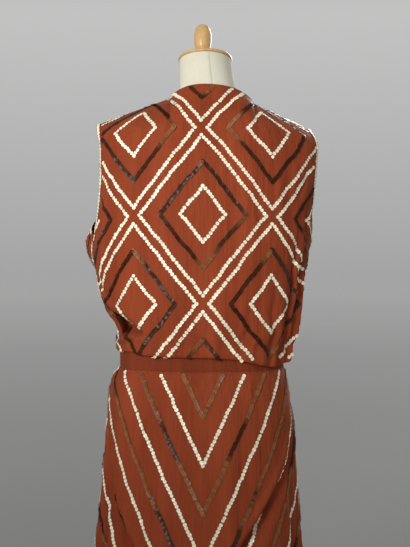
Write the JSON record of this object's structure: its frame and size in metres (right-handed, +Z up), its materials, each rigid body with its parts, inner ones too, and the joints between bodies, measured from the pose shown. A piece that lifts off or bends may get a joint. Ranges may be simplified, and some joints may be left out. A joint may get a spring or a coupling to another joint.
{
  "type": "chiffon dress on a dress form",
  "caption": "Sleeveless rust chiffon dress with bloused bodice, dropped waistband and slim skirt, trimmed with lines of sequins, on a limbless dress form on a round foot.",
  "frame": {"origin": "centre of the underside of the dress form's round foot", "axes": "+Z up, the front of the dress faces -Y and its back +Y, +X is the wearer's left"},
  "size_m": [0.4492, 0.4, 1.5513],
  "materials": {
    "chiffon": "matt, slightly crinkled, opaque in layers",
    "jersey": "fine matt knit stretched over the form",
    "turned_wood": "satin varnish",
    "sequin_cream": "satin, slightly pearly",
    "sequin_dark": "glossy, slightly translucent",
    "sequin_brown": "glossy, slightly translucent",
    "thread": "matt sewing thread"
  },
  "bodies": {
    "root": {"bodice_back": "chiffon", "bodice_front": "chiffon", "waistband": "chiffon", "skirt_back": "chiffon", "skirt_front": "chiffon", "form_torso": "jersey", "neck_cap": "turned_wood", "finial": "turned_wood", "post": "turned_wood", "base": "turned_wood"}
  },
  "joints": []
}
